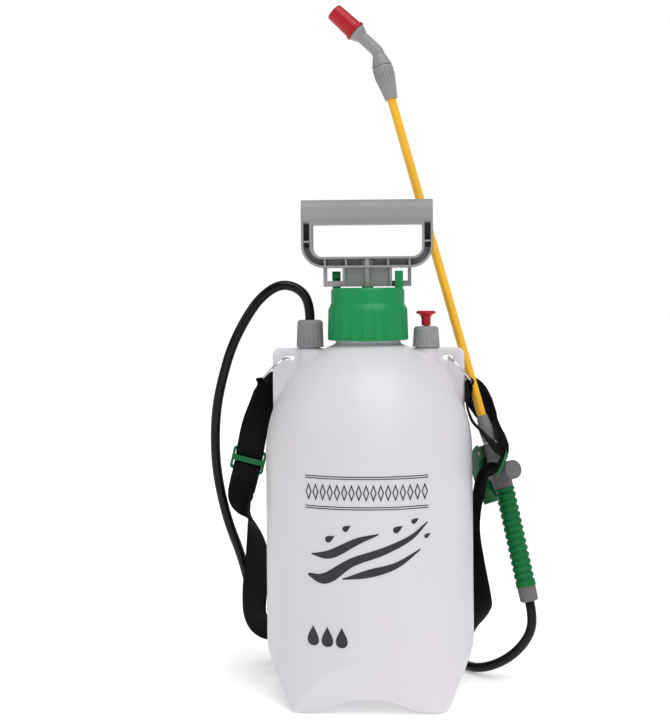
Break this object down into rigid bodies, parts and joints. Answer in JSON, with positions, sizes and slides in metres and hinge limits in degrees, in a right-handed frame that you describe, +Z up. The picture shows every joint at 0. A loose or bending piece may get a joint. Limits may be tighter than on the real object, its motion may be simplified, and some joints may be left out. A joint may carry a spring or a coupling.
{
  "type": "compression sprayer",
  "caption": "Hand-pumped compression sprayer: translucent footed tank, screw-in pump with cross handle, relief valve, hose, trigger gun and lance with angled nozzle, shoulder strap.",
  "frame": {"origin": "on the floor at the tank's vertical axis", "axes": "+Z up along the tank, +X towards the spray gun, -Y the labelled front"},
  "size_m": [0.2901, 0.3194, 0.6199],
  "materials": {
    "tank_plastic": "translucent milky blow-moulded polyethylene, satin",
    "green_plastic": "satin moulded",
    "grey_plastic": "satin moulded",
    "red_plastic": "semi-gloss moulded",
    "yellow_plastic": "drawn tube, semi-gloss",
    "white_plastic": "plain moulded",
    "black_rubber": "smooth",
    "black_hose": "glossy flexible PVC",
    "webbing": "woven polypropylene webbing",
    "spring_steel": "drawn wire",
    "chromed_steel": "plated wire"
  },
  "bodies": {
    "tank": {"tank": "tank_plastic", "outlet_gasket": "black_rubber", "hose_barb": "white_plastic", "dip_tube": "white_plastic", "dip_strainer": "white_plastic", "hose_nut": "grey_plastic", "relief_seat": "white_plastic", "relief_nut": "grey_plastic", "relief_spring": "spring_steel", "strap_left_ply": "webbing", "shoulder_strap": "webbing", "strap_right_outer_ply": "webbing", "strap_right_inner_ply": "webbing", "strap_ring_left": "chromed_steel", "strap_ring_right": "chromed_steel", "strap_slider_left": "green_plastic", "strap_slider_right": "green_plastic", "hose_left": "black_hose", "hose_coil": "black_hose", "hose_tie": "black_hose", "hose_right": "black_hose"},
    "neck_seal": {"neck_gasket": "black_rubber"},
    "pump": {"pump_collar": "green_plastic", "pump_barrel": "white_plastic", "barrel_check_valve": "black_rubber", "rod_guide": "white_plastic"},
    "piston_seal": {"piston_ring": "black_rubber"},
    "handle": {"pump_handle": "grey_plastic", "rod_pin": "spring_steel", "pump_rod": "white_plastic", "piston": "white_plastic", "piston_nut": "white_plastic"},
    "relief": {"relief_knob": "red_plastic", "relief_stem": "white_plastic", "relief_seal": "black_rubber"},
    "gun": {"gun_body": "grey_plastic", "grip_sleeve": "green_plastic", "grip_nut": "grey_plastic", "valve_cap": "grey_plastic", "valve_spring": "spring_steel", "trigger_pin": "spring_steel", "lance_nut_lower": "grey_plastic", "lance_tube": "yellow_plastic", "lance_nut_upper": "grey_plastic"},
    "trigger": {"trigger_lever": "green_plastic"},
    "valve": {"valve_stem": "white_plastic", "valve_seal": "black_rubber"},
    "elbow": {"nozzle_elbow": "grey_plastic", "spray_core": "white_plastic", "nozzle_seal": "black_rubber"},
    "nozzle": {"nozzle_cap": "red_plastic"}
  },
  "joints": [
    {"name": "pump_lift", "type": "slide", "parent": "tank", "child": "neck_seal", "axis": [0, 0, 1], "range_m": [0, 0.25]},
    {"name": "pump_unscrew", "type": "hinge", "parent": "neck_seal", "child": "pump", "pos_m": [0, 0, 0.337], "axis": [0, 0, 1], "range_deg": [0, 540]},
    {"name": "pump_stroke", "type": "slide", "parent": "pump", "child": "piston_seal", "axis": [0, 0, 1], "range_m": [0, 0.15]},
    {"name": "handle_turn", "type": "hinge", "parent": "piston_seal", "child": "handle", "pos_m": [0, 0, 0.36], "axis": [0, 0, 1], "range_deg": [-8, 0]},
    {"name": "relief_pull", "type": "slide", "parent": "tank", "child": "relief", "axis": [0, 0, 1], "range_m": [0, 0.005], "stiffness_N_per_m": 600, "springref_m": -0.004, "deforming": ["relief_spring"]},
    {"name": "gun_slide", "type": "slide", "parent": "tank", "child": "gun", "axis": [-0.2616, 0.1158, 0.9582], "range_m": [-0.03, 0], "deforming": ["hose_right"]},
    {"name": "trigger_squeeze", "type": "hinge", "parent": "gun", "child": "trigger", "pos_m": [0.10512, 0.03907, 0.20689], "axis": [-0.8538, -0.4907, -0.1738], "range_deg": [0, 12], "stiffness_Nm_per_rad": 1, "springref_deg": -5.73},
    {"name": "valve_push", "type": "slide", "parent": "gun", "child": "valve", "axis": [0.4501, -0.8636, 0.2272], "range_m": [0, 0.0045], "deforming": ["valve_spring"]},
    {"name": "elbow_swivel", "type": "hinge", "parent": "gun", "child": "elbow", "pos_m": [0.0215, 0.0701, 0.5301], "axis": [-0.2616, 0.1158, 0.9582], "range_deg": [-180, 0]},
    {"name": "nozzle_turn", "type": "hinge", "parent": "elbow", "child": "nozzle", "pos_m": [-0.01119, 0.07791, 0.59471], "axis": [-0.7206, 0.0834, 0.6883], "range_deg": [0, 540]}
  ],
  "couplings": [
    {"joint": "valve_push", "follows": "trigger_squeeze", "m_per_rad": 0.021}
  ]
}
